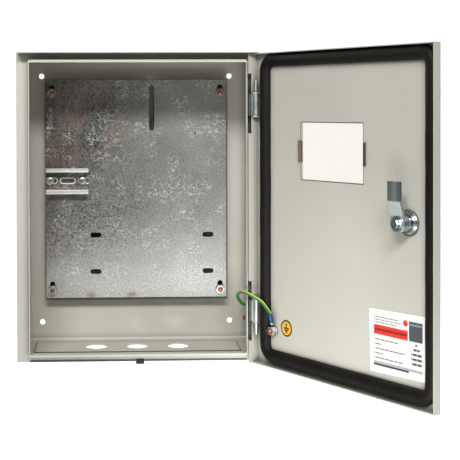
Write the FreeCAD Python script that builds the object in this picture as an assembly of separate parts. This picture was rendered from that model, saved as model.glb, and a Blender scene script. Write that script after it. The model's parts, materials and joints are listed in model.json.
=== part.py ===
"""Small wall-mounted sheet-steel metering enclosure, 310 x 395 x 160 mm, as an assembly of separate parts.

Frame: +Z up, +X to the right, +Y into the wall. The origin is the centre of the four wall-fixing holes
on the outer face of the back wall. The door stands open by OPEN_ANGLE and the lock cam points up.
Every door part is built with the door shut and then swung open about the hinge axis.
"""
import FreeCAD, Part
import math
import os

from FreeCAD import Vector

os.makedirs("parts", exist_ok=True)

# ---- sheet and cabinet -------------------------------------------------------------------------
SHEET = 1.2
HALF_W = 155.0                 # half of the 310 mm width
BOTTOM, TOP = -197.0, 198.0    # 395 mm high
FRONT = -139.0                 # front face of the flange round the opening
LIP_FRONT = -150.0             # front edge of the sealing lip
LIP_HALF_W = 137.8             # inside face of the two side lips
LIP_BOTTOM, LIP_TOP = -185.6, 185.1
LIP_HEM = 3.4                  # the top and bottom lips are folded double
LIP_CORNER = 1.6
HOOD_FRONT = -159.0
HOOD_HALF_W = 152.5

WALL_HOLE = (131.0, 171.5)     # half spacings of the wall-fixing holes
WALL_HOLE_D = 7.5

# ---- floor -------------------------------------------------------------------------------------
ENTRY_Y = -59.0
ENTRY_X = (-55.0, 0.0, 55.0)
ENTRY_D = 29.0
ENTRY_PLATE = (137.0, -92.0, -26.0, 1.5)    # half width, front, rear, thickness
FLOOR_OPENING = (128.0, -87.0, -30.0)       # half width, front, rear
DRAIN_X, DRAIN_HALF_W = 1.8, 4.6            # notch in the lower front edge that lets water out
DRAIN_REAR, DRAIN_TOP = -133.0, -194.0

# ---- mounting plate and what it carries --------------------------------------------------------
PLATE_FRONT, PLATE_T = -25.0, 1.5
PLATE_HALF_W = 124.0
PLATE_BOTTOM, PLATE_TOP = -134.0, 166.0
STUD_X = 115.5
STUD_Z = (147.7, -123.5)
STUD_D = 6.0
METER_X = 21.5                 # centre line of the meter-fixing slots
METER_SLOT_DX = 77.4
METER_SLOT_Z = (-47.8, -98.1)
RAIL_X0, RAIL_X1, RAIL_Z = -123.6, -65.6, 27.3
RAIL_DEPTH, RAIL_T = 15.0, 1.5
RAIL_SCREW_HEAD_D, RAIL_SCREW_HEAD_H = 11.2, 3.6

# ---- door, in the shut position ----------------------------------------------------------------
DOOR_LEFT, DOOR_RIGHT = -149.0, 155.0
DOOR_BOTTOM, DOOR_TOP = -197.8, 196.2
DOOR_FACE = -160.0
DOOR_INNER = DOOR_FACE + SHEET
FOLD = 11.0                    # depth of the folded edges
HINGE_FOLD = 15.6              # the folded edge beside the hinges is deeper
NOTCH_LEFT_DEPTH = 10.8        # fold depth that is left where the hinge leaf passes
NOTCHES = ((94.5, 170.5), (-169.5, -93.5))
AXIS_X, AXIS_Y = 149.5, -152.4
OPEN_ANGLE = 122.0
HINGE_Z = (131.0, -131.0)
LUG_GAP = 29.5                 # distance between the mid planes of the two lugs of one hinge
LUG_T = 2.0
PIN_D = 5.0
KNUCKLE_R = 3.7

SEAL = (-147.5, 144.6, -193.5, 194.9)   # outer edges of the gasket
SEAL_W, SEAL_H = 16.6, 8.5

WINDOW = (-35.8, 71.8, 38.9, 110.0)         # cut-out in the door
WINDOW_RIM, WINDOW_RIM_T = 6.0, 1.5        # rim of the pane that overlaps the door on the outside
CLIP_OFFSET, CLIP_Z = 1.7, (60.6, 87.0)    # snap strips just outside the cut-out
LOCK_X, LOCK_Z = -105.0, 1.5
BARREL_D = 18.6
CAM_W, CAM_T, CAM_REACH = 18.2, 3.0, 46.0
CAM_HUB, CAM_TIP = 17.4, 22.6  # distance of the cam's two flats behind the door's outer face

DOOR_STUD = (121.2, -152.5)
CABINET_STUD = (-83.0, -153.0)
EARTH_D = 6.0
WIRE_D = 4.1
SLEEVE_D = 5.4
SLEEVE_BORE = 4.5
SLEEVE_REACH = (10.0, 21.5)    # start and end of the sleeve, from the stud's centre
BARREL_D_WIRE = 4.3
BARREL_START = 8.4
BARREL_LIFT = 4.0              # height of the barrel's axis over the ring, where the barrel starts
BARREL_TILT = 11.0             # the barrel slants away from the surface that the ring lies on
DOOR_LEAN, WALL_LEAN = 3.5, -32.0
DOOR_RING = (SHEET, SHEET + 1.0)
WALL_RING = (0.0, 1.0)


# ---- helpers -----------------------------------------------------------------------------------
def block(x0, x1, y0, y1, z0, z1):
    """Box between two corners."""
    return Part.makeBox(x1 - x0, y1 - y0, z1 - z0, Vector(x0, y0, z0))


def rod(diameter, start, end):
    """Cylinder of one diameter from one point to another."""
    start, end = Vector(*start), Vector(*end)
    return Part.makeCylinder(diameter / 2.0, (end - start).Length, start, end - start)


def tube(outer_d, inner_d, start, end):
    """Hollow cylinder between two points."""
    return rod(outer_d, start, end).cut(rod(inner_d, start, end))


def prism(points, direction):
    """Closed outline of 3-D points pushed along a direction."""
    corners = [Vector(*p) for p in points]
    wire = Part.makePolygon(corners + corners[:1])
    return Part.Face(wire).extrude(Vector(*direction))


def hexagon(across_flats, start, end):
    """Hexagonal bar between two points that lie on a line parallel to X or Y."""
    start, end = Vector(*start), Vector(*end)
    axis = end - start
    side = Vector(0, 0, 1).cross(axis).normalize()
    radius = across_flats / math.sqrt(3.0)
    corners = []
    for k in range(6):
        angle = math.radians(60.0 * k)
        corners.append(start + side * (radius * math.cos(angle)) + Vector(0, 0, radius * math.sin(angle)))
    return prism([tuple(c) for c in corners], tuple(axis))


def nut(across_flats, bore_d, start, end):
    """Hexagonal nut with a plain bore."""
    return hexagon(across_flats, start, end).cut(rod(bore_d, start, end))


def rounded_panel(x0, x1, z0, z1, radius, y0, y1):
    """Slab with rounded corners, its faces square to Y."""
    slab = block(x0, x1, y0, y1, z0, z1)
    upright = [e for e in slab.Edges if abs(e.tangentAt(e.FirstParameter).y) > 0.99]
    return slab.makeFillet(radius, upright)


def slot(centre_x, centre_z, length, width, y0, y1, along="x"):
    """Round-ended slot through a plate that stands square to Y."""
    half = (length - width) / 2.0
    dx, dz = (half, 0.0) if along == "x" else (0.0, half)
    ends = [rod(width, (centre_x + s * dx, y0, centre_z + s * dz), (centre_x + s * dx, y1, centre_z + s * dz))
            for s in (-1, 1)]
    wx, wz = (half, width / 2.0) if along == "x" else (width / 2.0, half)
    middle = block(centre_x - wx, centre_x + wx, y0, y1, centre_z - wz, centre_z + wz)
    return middle.fuse(ends).removeSplitter()


def behind(depth):
    """Y of a plane that lies a given depth behind the outer face of the shut door."""
    return DOOR_FACE + depth


def swing_open(shape):
    """Turn a part of the shut door into its open position."""
    shape.rotate(Vector(AXIS_X, AXIS_Y, 0), Vector(0, 0, 1), OPEN_ANGLE)
    return shape


def save(name, solids):
    """Write one part; a list of solids becomes one group of separate solids."""
    if isinstance(solids, list):
        shape = Part.makeCompound(solids)
    else:
        shape = solids.removeSplitter()
    shape.exportStep("parts/" + name + ".step")


# ---- cabinet -----------------------------------------------------------------------------------
def cabinet_body():
    """Folded and welded shell with its flange, sealing lip, rain hood and holes."""
    shell = block(-HALF_W, HALF_W, FRONT, 0.0, BOTTOM, TOP)
    shell = shell.cut(block(-HALF_W + SHEET, HALF_W - SHEET, FRONT + SHEET, -SHEET,
                            BOTTOM + SHEET, TOP - SHEET))
    lip = rounded_panel(-LIP_HALF_W - SHEET, LIP_HALF_W + SHEET, LIP_BOTTOM - LIP_HEM, LIP_TOP + LIP_HEM,
                        LIP_CORNER + SHEET, LIP_FRONT, FRONT)
    opening = rounded_panel(-LIP_HALF_W, LIP_HALF_W, LIP_BOTTOM, LIP_TOP, LIP_CORNER,
                            LIP_FRONT, FRONT + SHEET)
    hood = block(-HOOD_HALF_W, HOOD_HALF_W, HOOD_FRONT, FRONT, TOP - SHEET, TOP)
    shell = shell.fuse([lip, hood]).cut(opening)
    for sx in (-1, 1):
        for sz in (-1, 1):
            x, z = sx * WALL_HOLE[0], sz * WALL_HOLE[1]
            shell = shell.cut(rod(WALL_HOLE_D, (x, -SHEET, z), (x, 0, z)))
    half, front, rear = FLOOR_OPENING
    shell = shell.cut(block(-half, half, front, rear, BOTTOM, BOTTOM + SHEET))
    return shell.cut(block(DRAIN_X - DRAIN_HALF_W, DRAIN_X + DRAIN_HALF_W, FRONT, DRAIN_REAR,
                           BOTTOM, DRAIN_TOP))


def cable_entry_plate():
    """Plate let into the floor, with three round cable entries."""
    half, front, rear, thick = ENTRY_PLATE
    z0 = BOTTOM + SHEET
    plate = block(-half, half, front, rear, z0, z0 + thick)
    for x in ENTRY_X:
        plate = plate.cut(rod(ENTRY_D, (x, ENTRY_Y, z0), (x, ENTRY_Y, z0 + thick)))
    return plate


def drain_plug():
    """Rubber plug in the drain notch: a core that fills the notch and a wider foot below the floor."""
    half = DRAIN_HALF_W
    core = block(DRAIN_X - half + 0.1, DRAIN_X + half - 0.1, FRONT - 1.6, DRAIN_REAR - 0.1,
                 BOTTOM, DRAIN_TOP - 0.1)
    foot = block(DRAIN_X - half - 0.6, DRAIN_X + half + 0.6, FRONT - 1.6, DRAIN_REAR + 1.0,
                 BOTTOM - 3.6, BOTTOM)
    return core.fuse(foot)


def at_plate_studs(make):
    """Repeat one small part at the four studs that carry the mounting plate."""
    return [make(sx * STUD_X, z) for z in STUD_Z for sx in (-1, 1)]


def plate_studs():
    """Four threaded studs welded to the back wall."""
    return at_plate_studs(lambda x, z: rod(STUD_D, (x, -34.0, z), (x, -SHEET, z)))


def plate_backing_nuts():
    """Nuts behind the mounting plate that hold it off the back wall."""
    y = PLATE_FRONT + PLATE_T
    return at_plate_studs(lambda x, z: nut(10.0, STUD_D + 0.1, (x, y, z), (x, y + 5.0, z)))


def plate_washers():
    """Flat washers in front of the mounting plate."""
    return at_plate_studs(
        lambda x, z: tube(12.0, STUD_D + 0.3, (x, PLATE_FRONT - 1.2, z), (x, PLATE_FRONT, z)))


def plate_nuts():
    """Nuts that clamp the mounting plate."""
    y = PLATE_FRONT - 1.2
    return at_plate_studs(lambda x, z: nut(10.0, STUD_D + 0.1, (x, y - 5.0, z), (x, y, z)))


def mounting_plate():
    """Galvanised plate with stud slots and the slots for a three-point meter fixing."""
    y0, y1 = PLATE_FRONT, PLATE_FRONT + PLATE_T
    plate = block(-PLATE_HALF_W, PLATE_HALF_W, y0, y1, PLATE_BOTTOM, PLATE_TOP)
    for z in STUD_Z:
        for sx in (-1, 1):
            plate = plate.cut(slot(sx * STUD_X, z + 4.3, 15.8, 7.2, y0, y1, "z"))
    plate = plate.cut(slot(METER_X, 127.0, 62.0, 7.2, y0, y1, "z"))
    for z in METER_SLOT_Z:
        for sx in (-1, 1):
            plate = plate.cut(slot(METER_X + sx * METER_SLOT_DX, z, 15.2, 6.8, y0, y1))
    for x in rail_screw_x():
        plate = plate.cut(rod(4.0, (x, y0, RAIL_Z), (x, y1, RAIL_Z)))
    return plate.cut(rod(2.6, (81.3, y0, 92.3), (81.3, y1, 92.3)))


def rail_screw_x():
    """X of the two screws that hold the rail."""
    return (-118.5, -74.0)


def din_rail():
    """Short length of 35 mm top-hat rail, 15 mm deep, with slots in its web."""
    back, front, t = PLATE_FRONT, PLATE_FRONT - RAIL_DEPTH, RAIL_T
    web = block(RAIL_X0, RAIL_X1, back - t, back, RAIL_Z - 13.5, RAIL_Z + 13.5)
    rail = web
    for s in (-1, 1):
        inner, outer = sorted((RAIL_Z + s * 12.0, RAIL_Z + s * 13.5))
        rail = rail.fuse(block(RAIL_X0, RAIL_X1, front, back, inner, outer))
        inner, outer = sorted((RAIL_Z + s * 12.0, RAIL_Z + s * 17.5))
        rail = rail.fuse(block(RAIL_X0, RAIL_X1, front, front + t, inner, outer))
    for k in (-1, 0, 1):
        centre = -94.2 + 24.4 * k
        rail = rail.cut(slot(centre, RAIL_Z, 19.0, 6.2, back - t, back))
        rail = rail.cut(slot(centre, RAIL_Z, 20.6, 7.8, back - t, back - t + 0.5))
    return rail


def din_rail_screws():
    """Two slotted pan-head screws through the rail into the mounting plate."""
    screws = []
    base = PLATE_FRONT - RAIL_T
    top = base - RAIL_SCREW_HEAD_H
    radius = RAIL_SCREW_HEAD_D / 2.0
    for x in rail_screw_x():
        head = rod(RAIL_SCREW_HEAD_D, (x, top, RAIL_Z), (x, base, RAIL_Z))
        front_rim = [e for e in head.Edges if e.BoundBox.YMax < top + 0.2]
        head = head.makeFillet(2.0, front_rim)
        head = head.cut(block(x - radius, x + radius, top, top + 1.6, RAIL_Z - 0.8, RAIL_Z + 0.8))
        shank = rod(3.9, (x, base, RAIL_Z), (x, PLATE_FRONT + 6.0, RAIL_Z))
        screws.append(head.fuse(shank))
    return screws


# ---- hinges ------------------------------------------------------------------------------------
def hinge_leaf(z):
    """Leaf on the cabinet: foot on the flange, a web beside the lip and a knuckle round the pin."""
    half = LUG_GAP / 2.0 - LUG_T / 2.0 - 0.3
    left = 140.3
    foot = block(left, 152.5, FRONT - 2.0, FRONT, z - half - 9.0, z + half + 9.0)
    outer = [(left, FRONT - 2.0), (left, -150.6), (142.5, -152.4), (143.5, -153.3), (146.3, -153.3)]
    inner = [(146.3, -151.5), (143.3, -151.4), (142.3, -150.0), (142.3, FRONT - 2.0)]
    outline = outer + inner
    web = prism([(x, y, z - half) for x, y in outline], (0, 0, 2 * half))
    knuckle = rod(2 * KNUCKLE_R, (AXIS_X, AXIS_Y, z - half), (AXIS_X, AXIS_Y, z + half))
    bore = rod(PIN_D + 0.1, (AXIS_X, AXIS_Y, z - half), (AXIS_X, AXIS_Y, z + half))
    return foot.fuse([web, knuckle]).cut(bore)


def hinge_pin(z, tail):
    """Hinge pin; the tail is the tapered end that stands beyond the lug."""
    reach = LUG_GAP / 2.0 + LUG_T / 2.0
    straight = rod(PIN_D, (AXIS_X, AXIS_Y, z - reach - 1.0), (AXIS_X, AXIS_Y, z + reach + 1.0))
    start = Vector(AXIS_X, AXIS_Y, z + tail * (reach + 1.0))
    taper = Part.makeCone(PIN_D / 2.0, PIN_D / 2.0 - 0.8, 14.0, start, Vector(0, 0, tail))
    return straight.fuse(taper)


def door_hinge_bracket(z):
    """Bracket on the door: a back strip and two lugs with the pin holes."""
    left, right = 145.4, 153.6
    zs = (z - LUG_GAP / 2.0, z + LUG_GAP / 2.0)
    strip = block(left, right, behind(SHEET), behind(2.8), zs[0] - 1.0, zs[1] + 1.0)
    bracket = strip
    for mid in zs:
        lug = block(left, right, behind(SHEET), AXIS_Y, mid - LUG_T / 2.0, mid + LUG_T / 2.0)
        nose = rod(right - left, ((left + right) / 2.0, AXIS_Y, mid - LUG_T / 2.0),
                   ((left + right) / 2.0, AXIS_Y, mid + LUG_T / 2.0))
        bracket = bracket.fuse([lug, nose])
    hole = rod(PIN_D + 0.1, (AXIS_X, AXIS_Y, zs[0] - 5.0), (AXIS_X, AXIS_Y, zs[1] + 5.0))
    return swing_open(bracket.cut(hole))


# ---- door --------------------------------------------------------------------------------------
def door_panel():
    """Sheet-steel pan with four folded edges, two hinge notches, the window and the lock hole."""
    outer = block(DOOR_LEFT, DOOR_RIGHT, DOOR_FACE, behind(HINGE_FOLD), DOOR_BOTTOM, DOOR_TOP)
    face_rim = [e for e in outer.Edges if e.BoundBox.YMax < DOOR_FACE + 0.1]
    outer = outer.makeFillet(1.8, face_rim)
    inner = block(DOOR_LEFT + SHEET, DOOR_RIGHT - SHEET, DOOR_INNER, behind(HINGE_FOLD + 1.0),
                  DOOR_BOTTOM + SHEET, DOOR_TOP - SHEET)
    pan = outer.cut(inner)
    pan = pan.cut(block(DOOR_LEFT - 1.0, DOOR_RIGHT - SHEET, behind(FOLD), behind(HINGE_FOLD + 1.0),
                        DOOR_BOTTOM - 1.0, DOOR_TOP + 1.0))
    for z0, z1 in NOTCHES:
        pan = pan.cut(block(DOOR_RIGHT - 2.0, DOOR_RIGHT + 1.0, behind(NOTCH_LEFT_DEPTH),
                            behind(HINGE_FOLD + 1.0), z0, z1))
    x0, x1, z0, z1 = WINDOW
    pan = pan.cut(block(x0, x1, DOOR_FACE, DOOR_INNER, z0, z1))
    for centre in clip_centres():
        pan = pan.cut(clip_slot(centre, DOOR_FACE, DOOR_INNER))
    for x in (DOOR_LEFT + 2.4, DOOR_RIGHT - 2.4):
        pan = pan.cut(rod(2.4, (x, behind(FOLD - 0.8), DOOR_BOTTOM), (x, behind(FOLD - 0.8), DOOR_TOP)))
    pan = pan.cut(rod(BARREL_D + 0.4, (LOCK_X, DOOR_FACE, LOCK_Z), (LOCK_X, DOOR_INNER, LOCK_Z)))
    return swing_open(pan)


def door_gasket():
    """Poured foam bead that seals on the lip of the cabinet."""
    x0, x1, z0, z1 = SEAL
    y0, y1 = DOOR_INNER, DOOR_INNER + SEAL_H
    outer = rounded_panel(x0, x1, z0, z1, 22.0, y0, y1)
    inner = rounded_panel(x0 + SEAL_W, x1 - SEAL_W, z0 + SEAL_W, z1 - SEAL_W, 6.5, y0, y1)
    bead = outer.cut(inner)
    crest = [e for e in bead.Edges if e.BoundBox.YMin > y1 - 0.1]
    return swing_open(bead.makeFillet(8.2, crest))


def clip_centres():
    """X of the snap strips on the hinge side and on the lock side of the window."""
    return (WINDOW[1] + CLIP_OFFSET, WINDOW[0] - CLIP_OFFSET)


def clip_slot(centre, front, back):
    """Slot that the web of a snap strip passes through."""
    return block(centre - 0.7, centre + 0.7, front, back, CLIP_Z[0], CLIP_Z[1])


def window_pane():
    """Moulded clear pane: a rim outside the door and a body that fills the cut-out."""
    x0, x1, z0, z1 = WINDOW
    rim = block(x0 - WINDOW_RIM, x1 + WINDOW_RIM, DOOR_FACE - WINDOW_RIM_T, DOOR_FACE,
                z0 - WINDOW_RIM, z1 + WINDOW_RIM)
    body = block(x0 + 0.4, x1 - 0.4, DOOR_FACE, DOOR_INNER + 0.3, z0 + 0.4, z1 - 0.4)
    pane = rim.fuse(body)
    for centre in clip_centres():
        pane = pane.cut(clip_slot(centre, DOOR_FACE - WINDOW_RIM_T, DOOR_FACE))
    return swing_open(pane)


def window_clip(centre):
    """Snap strip that holds the pane: a head on each side of a web through the door."""
    z0, z1 = CLIP_Z
    rim_face = DOOR_FACE - WINDOW_RIM_T
    outer = block(centre - 1.3, centre + 1.3, rim_face - 0.8, rim_face, z0, z1)
    web = block(centre - 0.6, centre + 0.6, rim_face, DOOR_INNER, z0 + 0.1, z1 - 0.1)
    inner = block(centre - 1.2, centre + 1.2, DOOR_INNER, DOOR_INNER + 2.0, z0, z1)
    return swing_open(outer.fuse([web, inner]))


# ---- lock --------------------------------------------------------------------------------------
def lock_line(start_depth, end_depth):
    """Two points on the lock axis at given depths behind the outer face of the door."""
    return (LOCK_X, behind(start_depth), LOCK_Z), (LOCK_X, behind(end_depth), LOCK_Z)


def lock_housing():
    """Round lock body: outer flange, barrel through the door and a recess for the key."""
    flange = rod(27.0, *lock_line(-5.0, -1.0))
    outer_rim = [e for e in flange.Edges if e.BoundBox.YMax < behind(-4.9)]
    flange = flange.makeFillet(1.2, outer_rim)
    body = flange.fuse(rod(BARREL_D, *lock_line(-1.0, 17.0)))
    body = body.cut(rod(13.0, *lock_line(-5.0, 5.0)))
    return swing_open(body.cut(rod(10.1, *lock_line(5.0, 17.0))))


def lock_seal():
    """Rubber ring between the lock flange and the door."""
    return swing_open(tube(25.0, BARREL_D + 0.2, *lock_line(-1.0, 0.0)))


def lock_nut():
    """Round stepped nut with a serrated rim that clamps the lock to the door."""
    flange = rod(29.0, *lock_line(SHEET, 3.0))
    start, _ = lock_line(SHEET, 3.0)
    teeth = 30
    for k in range(teeth):
        angle = 2.0 * math.pi * k / teeth
        x = start[0] + 14.4 * math.cos(angle)
        z = start[2] + 14.4 * math.sin(angle)
        flange = flange.cut(rod(1.6, (x, start[1], z), (x, behind(3.0), z)))
    base, _ = lock_line(3.0, 5.0)
    cone = Part.makeCone(12.9, 11.2, 2.0, Vector(*base), Vector(0, 1, 0))
    body = flange.fuse([cone, rod(22.4, *lock_line(5.0, 6.4))])
    return swing_open(body.cut(rod(BARREL_D + 0.1, *lock_line(SHEET, 6.4))))


def lock_spindle():
    """Turning core of the lock: triangular key head, round shank and a square end for the cam."""
    shank = rod(10.0, *lock_line(5.0, 17.2))
    head_start, _ = lock_line(-3.5, 5.0)
    corners = []
    for k in range(3):
        angle = math.radians(90.0 + 120.0 * k)
        corners.append((LOCK_X + 4.6 * math.cos(angle), head_start[1], LOCK_Z + 4.6 * math.sin(angle)))
    head = prism(corners, (0, 8.5, 0))
    square = block(LOCK_X - 3.4, LOCK_X + 3.4, behind(17.2), behind(CAM_HUB + CAM_T - 0.1),
                   LOCK_Z - 3.4, LOCK_Z + 3.4)
    core = shank.fuse([head, square])
    return swing_open(core.cut(rod(5.1, *lock_line(9.9, CAM_HUB + CAM_T))))


def lock_cam():
    """Cranked flat bar that turns behind the flange of the cabinet; it points up when unlocked."""
    hub, tip, t = behind(CAM_HUB), behind(CAM_TIP), CAM_T
    profile = [(hub, -9.1), (hub, 9.0), (tip, 25.0), (tip, CAM_REACH), (tip + t, CAM_REACH),
               (tip + t, 24.0), (hub + t, 8.0), (hub + t, -9.1)]
    bar = prism([(LOCK_X - CAM_W / 2.0, y, LOCK_Z + z) for y, z in profile], (CAM_W, 0, 0))
    lower_corners = [e for e in bar.Edges
                     if e.BoundBox.ZMax < LOCK_Z - 9.0 and e.BoundBox.XLength < 0.01]
    bar = bar.makeFillet(7.0, lower_corners)
    hole = block(LOCK_X - 3.5, LOCK_X + 3.5, hub, hub + t, LOCK_Z - 3.5, LOCK_Z + 3.5)
    return swing_open(bar.cut(hole))


def cam_washer():
    """Spring washer under the head of the cam bolt."""
    return swing_open(tube(15.6, 5.4, *lock_line(CAM_HUB + CAM_T, 21.6)))


def cam_bolt():
    """Hexagon bolt that holds the cam on the spindle."""
    head = hexagon(9.0, *lock_line(21.6, 25.2))
    shank = rod(5.0, *lock_line(10.0, 21.6))
    return swing_open(head.fuse(shank))


# ---- earthing ----------------------------------------------------------------------------------
def door_stud_line(start_depth, end_depth):
    """Two points on the axis of the door's earth stud."""
    x, z = DOOR_STUD
    return (x, behind(start_depth), z), (x, behind(end_depth), z)


def wall_stud_line(start_height, end_height):
    """Two points on the axis of the cabinet's earth stud, measured in from the right side wall."""
    y, z = CABINET_STUD
    wall = HALF_W - SHEET
    return (wall - start_height, y, z), (wall - end_height, y, z)


def barrel_point(ring_line, lean, reach):
    """Point on the axis of a terminal's barrel, at a distance from the stud's centre."""
    start, end = (Vector(*p) for p in ring_line)
    normal = (end - start).normalize()
    rise = BARREL_LIFT + (reach - BARREL_START) * math.tan(math.radians(BARREL_TILT))
    offset = Vector(0, 0, reach) + normal * rise
    return start + FreeCAD.Rotation(normal, lean).multVec(offset)


def ring_terminal(ring_line, lean):
    """Ring terminal whose barrel points up, leaning sideways by an angle about the stud axis."""
    start, end = (Vector(*p) for p in ring_line)
    normal = (end - start).normalize()
    up = Vector(0, 0, 1)
    side = up.cross(normal)
    ring = rod(12.0, tuple(start), tuple(end))
    tongue = prism([tuple(start + side * a + up * b)
                    for a, b in ((-2.1, 4.0), (2.1, 4.0), (2.1, 8.6), (-2.1, 8.6))], tuple(end - start))
    neck_low = start + up * (BARREL_START - 1.0)
    neck = prism([tuple(neck_low + side * a + normal * b) for a, b in
                  ((-1.9, 0.0), (1.9, 0.0), (1.9, BARREL_LIFT + 1.0), (-1.9, BARREL_LIFT + 1.0))],
                 tuple(up * 1.2))
    flat = ring.fuse([tongue, neck]).cut(rod(EARTH_D + 0.4, tuple(start), tuple(end)))
    flat.rotate(start, normal, lean)
    barrel = rod(BARREL_D_WIRE, *(tuple(barrel_point(ring_line, lean, r)) for r in (BARREL_START, 14.6)))
    return flat.fuse(barrel)


def sleeve(ring_line, lean):
    """Insulating sleeve over the barrel of a ring terminal and the end of the wire."""
    return tube(SLEEVE_D, SLEEVE_BORE, *(tuple(barrel_point(ring_line, lean, r)) for r in SLEEVE_REACH))


def wire_end(ring_line, lean):
    """Points inside the sleeve, from the deepest outwards, so that the wire leaves it straight."""
    return [barrel_point(ring_line, lean, reach) for reach in (15.2, 18.6, 22.0)]


def earth_wire():
    """Green and yellow wire from the door terminal over the lip to the cabinet terminal."""
    turn = FreeCAD.Rotation(Vector(0, 0, 1), OPEN_ANGLE)
    axis = Vector(AXIS_X, AXIS_Y, 0)
    door_end = [axis + turn.multVec(p - axis) for p in wire_end(door_stud_line(*DOOR_RING), DOOR_LEAN)]
    wall_end = wire_end(wall_stud_line(*WALL_RING), WALL_LEAN)[::-1]
    crossing = [Vector(154.5, -172.5, -117.4), Vector(144.8, -167.5, -111.2), Vector(136.8, -160.5, -107.3),
                Vector(130.8, -151.5, -106.9), Vector(127.3, -138.5, -113.2), Vector(130.3, -127.5, -121.1),
                Vector(136.7, -117.0, -128.4)]
    curve = Part.BSplineCurve()
    curve.interpolate(Points=door_end + crossing + wall_end, InitialTangent=door_end[1] - door_end[0],
                      FinalTangent=wall_end[-1] - wall_end[-2])
    path = Part.Wire([curve.toShape()])
    start = path.Edges[0]
    section = Part.Wire([Part.makeCircle(WIRE_D / 2.0, start.valueAt(start.FirstParameter),
                                         start.tangentAt(start.FirstParameter))])
    return path.makePipeShell([section], True, False)


# ---- labels ------------------------------------------------------------------------------------
def earth_sticker():
    """Round sticker beside the door's earth stud."""
    x, z = 98.4, -146.3
    return swing_open(rod(20.4, (x, behind(SHEET), z), (x, behind(SHEET + 0.3), z)))


def data_label():
    """Rectangular data label near the foot of the door, stuck on slightly askew."""
    label = block(-129.0, -45.2, behind(SHEET), behind(SHEET + 0.3), -169.9, -98.6)
    label.rotate(Vector(-87.0, 0, -134.0), Vector(0, 1, 0), 1.4)
    return swing_open(label)


# ---- assembly ----------------------------------------------------------------------------------
def build():
    """Write every part of the assembly."""
    save("cabinet_body", cabinet_body())
    save("cable_entry_plate", cable_entry_plate())
    save("drain_plug", drain_plug())
    save("plate_studs", plate_studs())
    save("plate_backing_nuts", plate_backing_nuts())
    save("mounting_plate", mounting_plate())
    save("plate_washers", plate_washers())
    save("plate_nuts", plate_nuts())
    save("din_rail", din_rail())
    save("din_rail_screws", din_rail_screws())
    for name, z, tail in (("upper", HINGE_Z[0], 1), ("lower", HINGE_Z[1], -1)):
        save("hinge_leaf_" + name, hinge_leaf(z))
        save("hinge_pin_" + name, hinge_pin(z, tail))
        save("door_hinge_bracket_" + name, door_hinge_bracket(z))
    save("door_panel", door_panel())
    save("door_gasket", door_gasket())
    save("window_pane", window_pane())
    for side, centre in zip(("hinge", "lock"), clip_centres()):
        save("window_clip_" + side + "_side", window_clip(centre))
    save("lock_housing", lock_housing())
    save("lock_seal", lock_seal())
    save("lock_nut", lock_nut())
    save("lock_spindle", lock_spindle())
    save("lock_cam", lock_cam())
    save("cam_washer", cam_washer())
    save("cam_bolt", cam_bolt())

    door_ring = door_stud_line(*DOOR_RING)
    save("door_earth_stud", swing_open(rod(EARTH_D, *door_stud_line(SHEET, 12.2))))
    save("door_ring_terminal", swing_open(ring_terminal(door_ring, DOOR_LEAN)))
    save("door_earth_washer", swing_open(tube(13.0, EARTH_D + 0.3, *door_stud_line(2.2, 3.6))))
    save("door_earth_nut", swing_open(nut(10.0, EARTH_D + 0.1, *door_stud_line(3.6, 8.6))))
    save("door_terminal_sleeve", swing_open(sleeve(door_ring, DOOR_LEAN)))

    wall_ring = wall_stud_line(*WALL_RING)
    save("cabinet_earth_stud", rod(EARTH_D, *wall_stud_line(0.0, 13.6)))
    save("cabinet_ring_terminal", ring_terminal(wall_ring, WALL_LEAN))
    save("cabinet_earth_washer", tube(13.0, EARTH_D + 0.3, *wall_stud_line(1.0, 2.4)))
    save("cabinet_earth_nut", nut(10.0, EARTH_D + 0.1, *wall_stud_line(2.4, 7.4)))
    save("cabinet_terminal_sleeve", sleeve(wall_ring, WALL_LEAN))
    save("earth_wire", earth_wire())

    save("earth_sticker", earth_sticker())
    save("data_label", data_label())


build()
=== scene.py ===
"""Look of a small wall-mounted metering enclosure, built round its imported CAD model."""

import json
import math
from functools import reduce

import bpy
from mathutils import Matrix, Vector


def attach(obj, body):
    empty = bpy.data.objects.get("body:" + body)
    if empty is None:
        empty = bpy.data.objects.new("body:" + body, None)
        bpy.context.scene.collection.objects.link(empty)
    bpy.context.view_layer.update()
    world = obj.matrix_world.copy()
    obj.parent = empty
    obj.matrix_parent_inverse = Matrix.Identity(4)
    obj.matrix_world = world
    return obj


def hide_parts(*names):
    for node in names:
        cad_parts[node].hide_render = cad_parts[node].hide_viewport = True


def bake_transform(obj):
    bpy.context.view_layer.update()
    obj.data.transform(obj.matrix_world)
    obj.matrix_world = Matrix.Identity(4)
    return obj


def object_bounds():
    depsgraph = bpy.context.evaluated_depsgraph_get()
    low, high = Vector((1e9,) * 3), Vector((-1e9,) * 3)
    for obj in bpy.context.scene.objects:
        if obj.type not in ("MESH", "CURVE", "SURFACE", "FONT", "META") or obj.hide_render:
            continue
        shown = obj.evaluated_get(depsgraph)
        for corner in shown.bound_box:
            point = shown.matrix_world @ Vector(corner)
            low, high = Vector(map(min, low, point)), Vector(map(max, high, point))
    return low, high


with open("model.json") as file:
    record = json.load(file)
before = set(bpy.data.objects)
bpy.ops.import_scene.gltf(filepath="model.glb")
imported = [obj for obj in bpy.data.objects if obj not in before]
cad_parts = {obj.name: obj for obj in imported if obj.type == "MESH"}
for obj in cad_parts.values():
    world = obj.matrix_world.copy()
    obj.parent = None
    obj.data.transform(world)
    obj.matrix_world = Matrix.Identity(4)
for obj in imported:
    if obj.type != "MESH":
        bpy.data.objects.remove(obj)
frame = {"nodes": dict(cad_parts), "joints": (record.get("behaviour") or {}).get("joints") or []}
cad_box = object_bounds()
NODES = frame["nodes"]
MM = 0.001

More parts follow.
